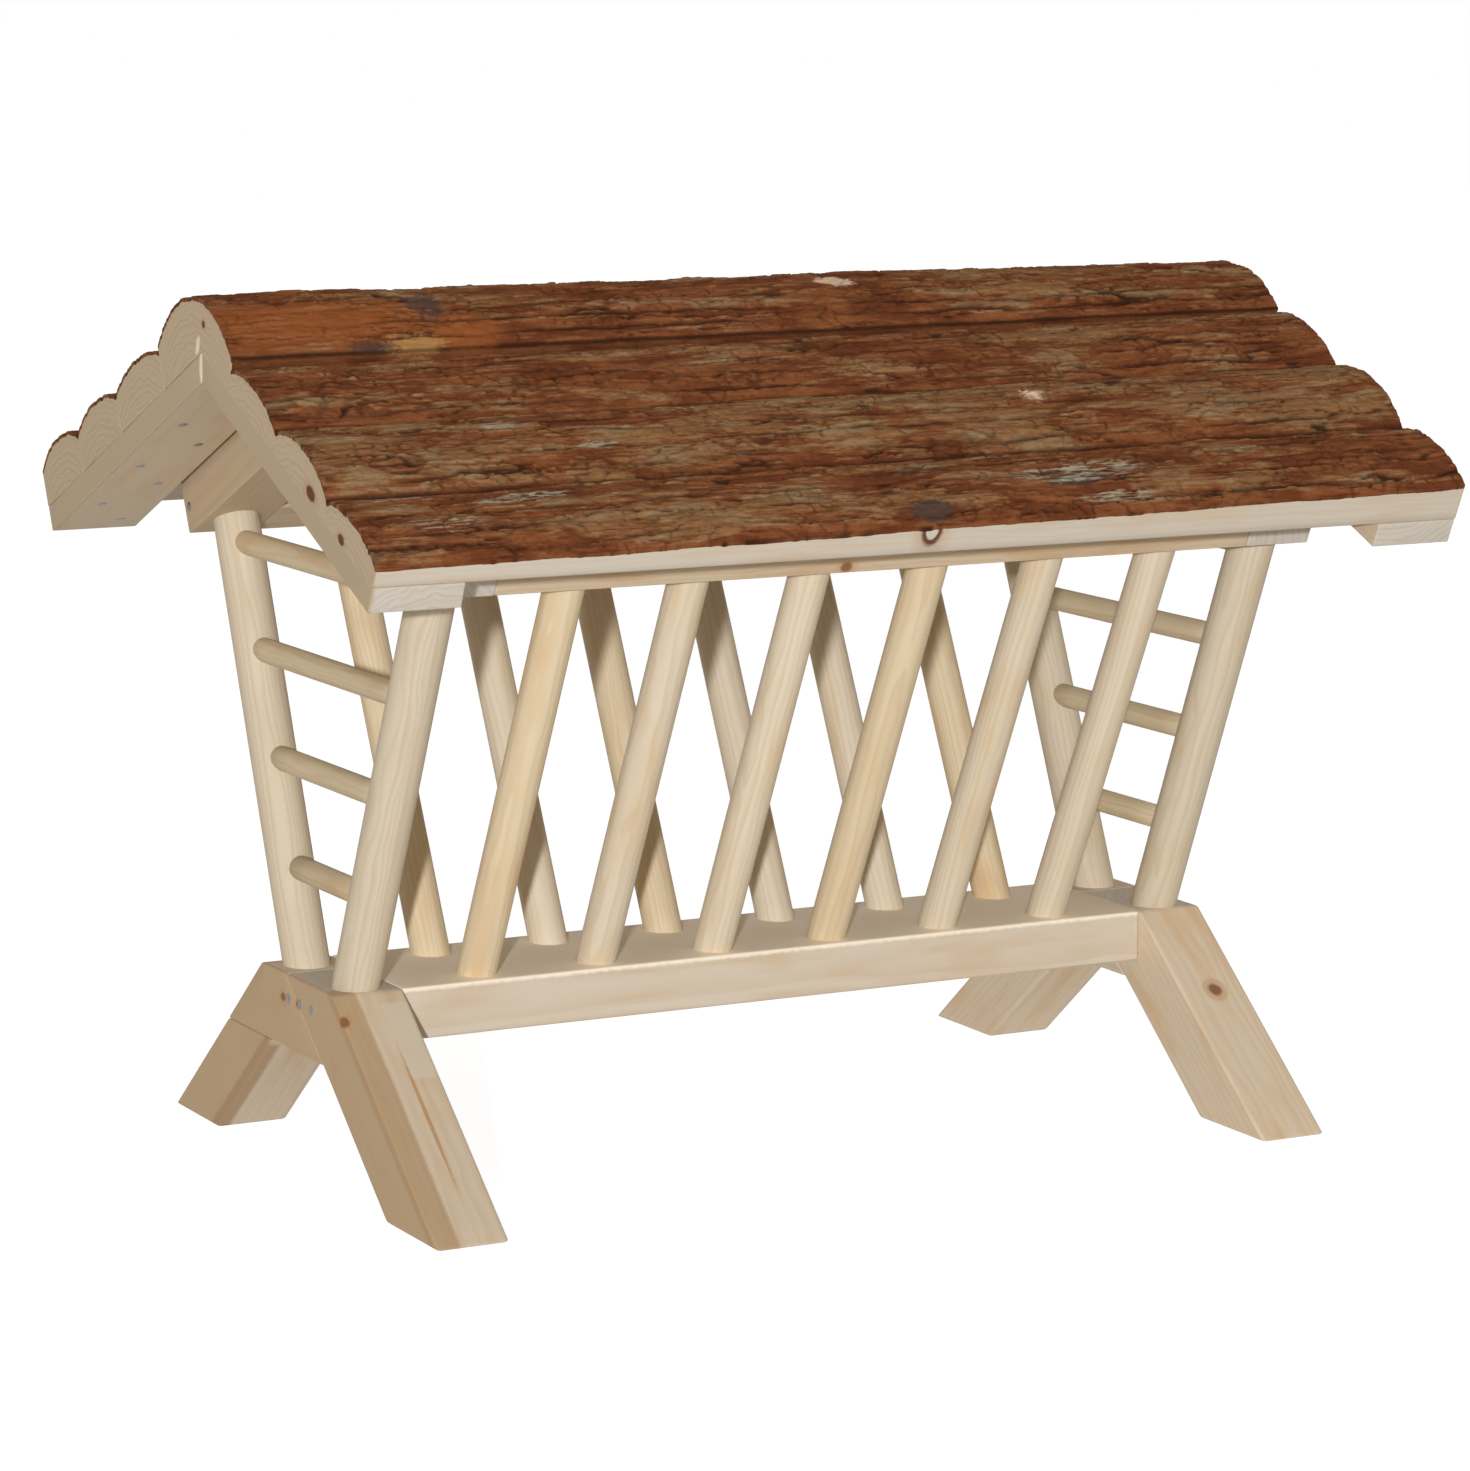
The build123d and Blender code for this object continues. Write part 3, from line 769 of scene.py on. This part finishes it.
def bark_wood(marks):
    """Bark over pale wood. Its attributes are place, bark (level, darkness of cracks and of painted
    shade, hue) and skin.

    place is (x, distance down the slope, height square to it) in mm, and the second number
    has 500 added behind the ridge. skin is (bark 1 or wood 0, weathering, 0). Marks are
    (kind, centre, radii) in place: peeled, chip, straw, lichen, soot, glue, knot or loop.
    """
    finish = Finish("bark_slab")
    sawn = rgb(209, 199, 184)
    ring = rgb(200, 176, 146)
    end = rgb(196, 176, 147)
    wood, wood_rough, wood_height = wood_grain(finish, sawn, ring, HEART, 2.6, 0.3, end)
    x, along, up = finish.attribute("place")
    place = finish.join(x, along, up)
    level, crack, hue = finish.attribute("bark")
    skin, weather, _ = finish.attribute("skin")
    stretched = finish.join(x * 0.12, along * 0.52, up * 0.52)
    flake = finish.noise(stretched, 1.0, 4.0, 0.65)
    speck = finish.noise(finish.join(x * 0.45, along * 1.15, up * 1.15), 1.0, 2.0, 0.6)
    thread = finish.noise(finish.join(x * 0.045, along * 0.9, up * 0.9), 1.0, 2.0, 0.6)
    deep_red = rgb(107, 58, 32)
    red_brown = rgb(133, 80, 47)
    tan = rgb(142, 103, 67)
    grey_tan = rgb(144, 121, 89)
    crust = finish.mix((hue + (flake - 0.5) * 0.8).step(0.25, 0.7), deep_red, red_brown)
    outer = finish.mix((flake + hue - 0.5).step(0.4, 0.85), tan, grey_tan)
    worn = (level + weather - 0.5 + (flake - 0.5) * 0.9 + (thread - 0.5) * 0.8).step(0.45, 0.9)
    crust = finish.mix(worn * 0.9, crust, outer)
    crust = finish.shade(crust, (speck - 0.5) * 0.7 + (flake - 0.5) * 0.6 + (thread - 0.5) * 0.6 + 1.0)
    # The crack number darkens the bark in its cracks, and down the slabs' sides as painted shade.
    crust = finish.mix(crack * 0.92, crust, rgb(42, 23, 13))
    shift = (flake - 0.5) * 1.4 + (speck - 0.5) * 0.8
    paints = {
        "peeled": (rgb(156, 90, 46), 0.6),
        "chip": (rgb(236, 208, 180), 1.0),
        "straw": (rgb(182, 138, 84), 0.75),
        "lichen": (rgb(168, 164, 144), 0.85),
        "soot": (rgb(66, 60, 58), 0.75),
        "glue": (rgb(240, 232, 212), 0.9),
    }
    streaky = (thread + flake * 0.6).step(0.72, 0.9)
    for kind, centre, radii in marks:
        if kind in paints:
            colour, strength = paints[kind]
            inside = finish.spot(place, centre, radii, shift, 0.5) * strength
            inside = inside * streaky if kind == "lichen" else inside
            if kind == "glue":
                wood = finish.mix(inside, wood, colour)
            else:
                crust = finish.mix(inside * (1.0 - crack * 0.6), crust, colour)
        else:
            rounds = [
                (1.7, 0.9, 0.4, rgb(186, 140, 100)),
                (1.0, 0.4, 1.0, rgb(104, 66, 48)),
                (0.6, 0.3, 1.0, sawn),
            ]
            for size, edge, share, colour in rounds[: 3 if kind == "loop" else 2]:
                reach = [size * radius for radius in radii]
                inside = finish.spot(place, centre, reach, shift * 0.2, edge)
                wood = finish.mix(inside * share, wood, colour)
    is_bark = skin.step(0.4, 0.6)
    colour = finish.mix(is_bark, wood, crust)
    bark_height = (flake * 0.5 + speck * 0.3) * MM
    height = bark_height * is_bark + wood_height * (1.0 - is_bark)
    roughness = is_bark * (0.9 - wood_rough) + wood_rough
    return finish.close(colour, roughness, height, 0.7, gloss=0.12)


def slab_bark(xs, around, furrows, seed, weather, eave):
    """Height in mm, plate level, crack, hue and weathering of a slab's bark on a grid.

    A slow swell is added to the bark's own height. The long furrows wander about their
    middles and vary in depth. The edges fall off and are split open, though not along an
    eave, and the relief is calmer toward the edges and the ends.
    """
    x, s = np.meshgrid(xs, around, indexing="ij")
    share = (x + roof_end) / (2 * roof_end)
    width = around[-1]

    def wave(length, breadth, number):
        return ripple(x / length, s / breadth, seed + number)

    rise, level, crack, hue = bark(x, s, seed)
    rise = rise + 0.8 * wave(70, 30, 20)
    edge = np.abs(2 * s / width - 1)
    wander = 1.6 * wave(38, 30, 40) + 0.7 * wave(11, 9, 41)
    groove = np.zeros_like(rise)
    for left, right in furrows:
        middle = ((1 - share) * left + share * right) * width
        groove = np.maximum(groove, 1 - np.abs(s + wander - middle) / furrow_half)
    groove = groove * np.clip(0.8 + 0.8 * wave(50, 25, 42), 0.1, 1.3)
    crack = np.maximum(crack, 0.9 * smooth(groove, 0.3, 0.9))
    worn_edge = smooth(edge, 1 - 3.4 / width, 1 - 1.2 / width)
    worn_edge[:, len(around) // 2 :] *= 0.0 if eave else 1.0
    crack = np.maximum(crack, 0.95 * worn_edge)
    rise = rise - furrow_depth * groove - 1.0 * edge**12 - 0.8 * worn_edge
    calm = (1 - 0.6 * np.exp((np.abs(x) - roof_end) / 5)) * (1 - 0.6 * edge**20)
    lowest, highest = -2.4, 1.6
    rise = np.clip(rise, lowest, highest) * calm
    aged = weather[0] + (weather[1] - weather[0]) * share
    aged = aged + 0.45 * wave(80, 22, 30) - 0.5 * edge**8
    return rise, level, crack, hue, aged


def slab(name, material, sections, floor, furrows, bark_seed, weather, pith, side, eave=False):
    """Closed slab: a top grid of bark with bark down both sides, a sawn floor and sawn ends.

    sections holds, for the left and the right end, the top curve's points, its normals and
    the way down from it, each as (y, z) in mm. Stations along the roof mix the two ends, and
    the bark's height is added along the normal. floor is the polyline under the slab. At an
    end, two rows under the bark's edge make its rim and one face fills the rest. furrows
    holds the share of the way over the slab of each long furrow, at the left and at the
    right end. At an eave the lower side is sawn.
    """
    rim = np.array([1.3, 1.8])
    soft = 0.6  # from a corner of the floor to the points on both sides of it
    step = 0.85  # between stations along the roof
    count_x = int(2 * roof_end / step)
    xs = np.linspace(-roof_end, roof_end, count_x)
    share = ((xs + roof_end) / (2 * roof_end))[:, None, None]
    curve, normal, down = ((1 - share) * a[None] + share * b[None] for a, b in zip(*sections))
    count = curve.shape[1]
    gaps = np.linalg.norm(np.diff(curve.mean(0), axis=0), axis=1)
    around = np.concatenate(([0], np.cumsum(gaps)))
    rise, *looks = slab_bark(xs, around, furrows, bark_seed, weather, eave)
    top = curve + normal * rise[..., None]

    def side_rows(first, goal, from_top):
        """Points down one side, from under its top edge to just over its floor corner."""
        length = np.linalg.norm(goal - first, axis=-1)[:, None]
        rest = np.broadcast_to([0.35, 0.7], (count_x, 2))
        shares = np.concatenate((rim / length, rest, 1 - soft / length), 1)
        rows = first[:, None] + shares[..., None] * (goal - first)[:, None]
        return rows if from_top else rows[:, ::-1]

    floor = np.asarray(floor, float)
    legs = np.diff(floor, axis=0)
    units = legs / np.linalg.norm(legs, axis=1)[:, None]
    inner = np.concatenate(([floor[0] + soft * units[0]], floor[1:-1], [floor[-1] - soft * units[-1]]))
    floor_rows = np.broadcast_to(inner[None], (count_x, *inner.shape))
    last_side = side_rows(top[:, -1], floor[0], True)
    first_side = side_rows(top[:, 0], floor[-1], False)
    ring = np.concatenate((top, last_side, floor_rows, first_side), 1)
    size = ring.shape[1]
    points = np.concatenate((np.broadcast_to(xs[:, None, None], (count_x, size, 1)), ring), 2)
    is_bark = np.zeros((count_x, size))
    is_bark[:, : count + 1] = 1
    is_bark[:, -1] = 1
    pad = ((0, 0), (0, size - count))
    level, crack, hue, aged = (np.pad(grid, pad, mode="edge") for grid in looks)
    # Painted shade: down a side that meets a neighbouring slab, the bark is painted darker the lower it
    # lies, through its crack number. The floor's rows are sawn wood again.
    side_count = last_side.shape[1]
    z_top = np.minimum(top[1:-1, -1:, 1], top[1:-1, :1, 1])
    joint_rows = slice(size - side_count if eave else count + 1, size)
    is_bark[1:-1, joint_rows] = 1
    crack[1:-1, joint_rows] = np.clip((z_top - ring[1:-1, joint_rows, 1]) / 9, 0.25, 0.9)
    is_bark[:, count + side_count : size - side_count] = 0
    bark_layer = np.stack((level, crack, hue), -1).reshape(-1, 3)
    skin_layer = np.stack((is_bark, aged, 0 * aged), -1).reshape(-1, 3)
    points = points.reshape(-1, 3)
    faces = np.array(sweep_faces(count_x, size)[:-2])

    # Each end: strips between the rows of its rim, and one face that fills the rest.
    caps = []
    for station in (0, count_x - 1):
        base = station * size
        rows = [base + np.arange(count)]
        for number, depth in enumerate(rim):
            inside = top[station, 1:-1] + depth * down[station, 1:-1]
            fresh = len(points) + np.arange(count - 2)
            new = np.concatenate((np.full((count - 2, 1), xs[station]), inside), 1)
            points = np.concatenate((points, new))
            edge_row = rows[0][1:-1]
            bark_layer = np.concatenate((bark_layer, bark_layer[edge_row]))
            skin_layer = np.concatenate((skin_layer, skin_layer[edge_row] * [1 - number, 1, 1]))
            first = base + size - 1 - number
            rows.append(np.concatenate(([first], fresh, [base + count + number])))
        strips = [np.stack((a[:-1], a[1:], b[1:], b[:-1]), 1) for a, b in zip(rows, rows[1:])]
        rest = np.arange(count + len(rim), size - len(rim)) + base
        whole = np.concatenate((rows[-1], rest)).tolist()
        found = np.concatenate(strips).tolist() + [whole]
        caps += [one[::-1] for one in found] if station == 0 else found
    faces = faces.tolist() + caps
    y, z = ring[0].T
    if np.sum(y * np.roll(z, -1) - np.roll(y, -1) * z) < 0:
        faces = [one[::-1] for one in faces]

    slope_place = to_slope(points, side)
    offset = 500.0 if side > 0 else 0.0
    place = np.column_stack((points[:, 0], slope_place[:, 0] + offset, slope_place[:, 1]))
    grain = points - [0, *pith] + [bark_seed * 37.0, 0, 0]
    cut = (np.abs(points[:, 0]) > roof_end - 0.1).astype(float)
    layers = {"place": place, "bark": bark_layer, "skin": skin_layer, "grain": grain}
    piece = new_piece(name, points, faces, material, **layers, tone=even_tone(cut, 1.0, 0.4))
    piece.data.set_sharp_from_angle(angle=math.radians(50))
    return piece


def end_section(node, side, x):
    """Points of a CAD slab's end as (distance down the slope, height)."""
    points = node_points(node)
    return to_slope(points[np.abs(points[:, 0] - x) < SECTION_REACH], side)


def slope_curve(node, side, x):
    """Top curve, normals and way down of a slab that lies on a slope."""
    along, up = end_section(node, side, x).T
    start, stop = along.min(), along.max()
    edge = up[along < start + EDGE_REACH].max()
    bulge = up.max() - edge
    t = np.linspace(0, 1, int((stop - start) / 0.78))
    q = np.abs(2 * t - 1)
    heights = edge + bulge * (1 - q**2.4)
    alongs = start + t * (stop - start)
    line = np.array([slope_point(side, a, u, 0)[1:] for a, u in zip(alongs, heights)])
    normal = np.broadcast_to(np.array([side * slope_sin, slope_cos]), line.shape)
    arc = edge + bulge * (1 - (2 * (along - start) / (stop - start) - 1) ** 2)
    return (line, normal, -normal), furrow_shares(arc - up, (along - start) / (stop - start))


def furrow_shares(drops, shares):
    """Middles of the furrows: where the CAD's bark lies clearly under its arc, by share."""
    found = shares[(drops > furrow_depth * 0.7) & (drops < furrow_depth * 1.3)]
    return np.unique(np.round(np.sort(found), 3))


slab_marks = [
    ("glue", (-236.5, -17.5, 31), (3, 1.8, 3.6)),
    ("peeled", (-205, 0, 48), (52, 12, 30)),
    ("peeled", (-137, 8, 48), (14, 9, 20)),
    ("soot", (-149, -8, 48), (8, 9, 12)),
    ("straw", (-161, 12.5, 46), (13, 4, 9)),
    ("soot", (-178, 13.5, 46), (10, 1.6, 8)),
    ("chip", (36, -14.5, 50), (8, 5, 10)),
    ("chip", (76.5, 84.5, 46), (6, 4.4, 8)),
    ("lichen", (-209, 122, 44), (16, 3.0, 10)),
    ("lichen", (-163, 129.4, 45), (19, 4.5, 10)),
    ("lichen", (-204, 146, 44), (15, 3, 10)),
    ("lichen", (-153, 82.6, 46), (10, 4, 10)),
    ("lichen", (-121, 99.4, 47), (8, 2.4, 10)),
    ("soot", (64, 146, 48), (14, 4, 10)),
    ("lichen", (68, 142, 48), (28, 6, 10)),
    ("lichen", (77, 156.9, 47), (16, 2.4, 8)),
    ("soot", (-6, 157.5, 46), (9, 5, 8)),
    ("knot", (-236.5, 101.5, 33.5), (3, 4.2, 2.6)),
    ("knot", (-236.5, 132.5, 32), (3, 2.8, 2.0)),
    ("loop", (-8, 163.9, 40), (4.4, 4, 6.5)),
    ("knot", (-236.5, -15.2, 41.3), (3, 1.5, 1.5)),
]
bark_finish = bark_wood(slab_marks)
low, high = node_box("ridge_bark_slab")
roof_end = high[0]
seeds = {"front": (200, 243, 281), "back": (310, 352, 397)}
weathers = {
    "front": ((0.42, 0.44), (0.62, 0.66), (0.52, 0.44)),
    "back": ((0.5, 0.4), (0.6, 0.5), (0.5, 0.6)),
}
for side_name, side in SIDES.items():
    for index in (1, 2, 3):
        node = f"{side_name}_bark_slab_{index}"
        along, up = end_section(node, side, -roof_end).T
        start, stop = along.min(), along.max()
        curves, shares = zip(*[slope_curve(node, side, x) for x in (-roof_end, roof_end)])
        floor = [slope_point(side, along, bar, 0)[1:] for along in (stop, start)]
        pith = slope_point(side, (start + stop) / 2 + 3, up.max() - 47, 0)[1:]
        seed = seeds[side_name][index - 1]
        weather = weathers[side_name][index - 1]
        furrows = list(zip(*shares))
        form = (curves, floor, furrows)
        piece = slab(node + "_wood", bark_finish, *form, seed, weather, pith, side, eave=index == 3)
        stand_in(piece, node, "roof")


def ridge_curve(node, x):
    """Top curve, normals and way down of the ridge slab: an arc over both slopes."""
    corners = []
    for side in (-1, 1):
        along, up = end_section(node, side, x).T
        stop = along.max()
        edge = up[along > stop - EDGE_REACH].max()
        corners.append((np.array(slope_point(side, stop, edge, 0)[1:]), stop))
    (front, front_stop), (back, back_stop) = corners
    crown_z = node_points(node)[:, 2].max()
    crown = np.array([(front[0] + back[0]) / 2, crown_z])
    rows = np.array([back - front, crown - front])
    values = np.array([(back @ back - front @ front) / 2, (crown @ crown - front @ front) / 2])
    centre = np.linalg.solve(rows, values)
    radius = np.linalg.norm(front - centre)
    first = math.atan2(*(front - centre)[::-1])
    last = math.atan2(*(back - centre)[::-1])
    first += 2 * math.pi if first < last else 0
    stations = 128
    angles = np.linspace(first, last, stations)
    normal = np.stack((np.cos(angles), np.sin(angles)), 1)
    t = np.linspace(0, 1, stations)[:, None]
    down = np.concatenate(((1 - 2 * t) * slope_sin, np.full_like(t, -slope_cos)), 1)
    down /= np.linalg.norm(down, axis=1)[:, None]
    floor = [
        slope_point(1, back_stop, bar, 0)[1:],
        slope_point(1, -bar * math.tan(slope), bar, 0)[1:],
        slope_point(-1, front_stop, bar, 0)[1:],
    ]
    points = node_points(node)
    rel = points[np.abs(points[:, 0] - x) < SECTION_REACH, 1:] - centre
    turn = (np.arctan2(rel[:, 1], rel[:, 0]) - first + math.pi) % (2 * math.pi) - math.pi
    turn = turn / (last - first)
    over = (turn > 0.01) & (turn < 0.99)
    shares = furrow_shares(radius - np.linalg.norm(rel[over], axis=1), turn[over])
    return (centre + radius * normal, normal, down), floor, centre, shares


curves, floors, centres, shares = zip(*[ridge_curve("ridge_bark_slab", x) for x in (-roof_end, roof_end)])
form = (curves, floors[0], list(zip(*shares)))
piece = slab("ridge_bark_slab_wood", bark_finish, *form, 150, (0.3, 0.56), centres[0], -1)
stand_in(piece, "ridge_bark_slab", "roof")

# ---- Studio ----
# A white floor and backdrop, one soft lamp from just beside the camera, and even warm light
# from all round. Seen directly, the floor glows and is tinted against that light.

floor_half = 6.0
floor_mesh = bpy.data.meshes.new("floor")
floor_corners = [(-1, -1, 0), (1, -1, 0), (1, 1, 0), (-1, 1, 0)]
floor_mesh.from_pydata((np.array(floor_corners) * floor_half).tolist(), [], [(0, 1, 2, 3)])
floor = bpy.data.objects.new("floor", floor_mesh)
scene = bpy.context.scene
scene.collection.objects.link(floor)
paint = Finish("floor_paint")
rays = paint.add("ShaderNodeLightPath")
glossy = Value(paint, rays.socket.node.outputs[3])
seen = rays.math("MAXIMUM", glossy)
matte = paint.add("ShaderNodeBsdfDiffuse", None, {"Color": rgb(240, 240, 240)})
cooled = paint.add("ShaderNodeBsdfDiffuse", None, {"Color": (0.6, 0.71, 0.94, 1)})
glow = paint.add("ShaderNodeEmission", None, {"Color": (1, 1, 1, 1), "Strength": 0.84})
both = paint.add("ShaderNodeAddShader", None, {0: cooled, 1: glow})
shader = paint.add("ShaderNodeMixShader", None, {0: seen, 1: matte, 2: both})
paint.add("ShaderNodeOutputMaterial", None, {"Surface": shader})
floor_mesh.materials.append(paint.material)

scene.view_settings.view_transform = "Standard"
world = bpy.data.worlds.new("studio")
scene.world = world
sky = Finish(world)
ambient = (1.0, 0.84, 0.64, 1.0)
ambient_strength = 0.31
rays = sky.add("ShaderNodeLightPath")
outputs = rays.socket.node.outputs
glossy, transmitted = (Value(sky, outputs[i]) for i in (3, 6))
shown = rays.math("MAXIMUM", glossy).math("MAXIMUM", transmitted)
backdrop = sky.add("ShaderNodeBackground", None, {"Color": (1, 1, 1, 1), "Strength": 1.0})
even = sky.add("ShaderNodeBackground", None, {"Color": ambient, "Strength": ambient_strength})
light = sky.add("ShaderNodeMixShader", None, {0: shown, 1: even, 2: backdrop})
sky.add("ShaderNodeOutputWorld", None, {"Surface": light})

camera_place = Vector((-0.93291, -1.75979 + middle_y * MM, 0.48713))
camera_yaw, camera_pitch, camera_roll = 27.815, 9.2807, -0.16
lens_share = 4905.42 / 1470  # focal length over the picture's width


def view_axes(yaw, pitch, roll):
    """Right, up and backward axes of a camera turned by yaw from +Y to +X and down by pitch."""
    y, p, r = map(math.radians, (yaw, pitch, roll))
    ahead = Vector((math.sin(y) * math.cos(p), math.cos(y) * math.cos(p), -math.sin(p)))
    right = Vector((math.cos(y), -math.sin(y), 0))
    down = ahead.cross(right)
    level_right = right * math.cos(r) + down * math.sin(r)
    level_down = down * math.cos(r) - right * math.sin(r)
    return Matrix([list(axis) for axis in (level_right, -level_down, -ahead)]).transposed()


lens = bpy.data.cameras.new("camera")
lens.sensor_width = 36
lens.lens = lens_share * lens.sensor_width
camera = bpy.data.objects.new("camera", lens)
turn = view_axes(camera_yaw, camera_pitch, camera_roll)
camera.matrix_world = Matrix.Translation(camera_place) @ turn.to_4x4()
scene.collection.objects.link(camera)
scene.camera = camera

lamp = bpy.data.lights.new("key", "POINT")
lamp.energy = 950.0
lamp.color = (0.97, 1.0, 1.03)
lamp.shadow_soft_size = 0.09
key = bpy.data.objects.new("key", lamp)
key.location = (-2.913, -4.938, 1.156)
scene.collection.objects.link(key)
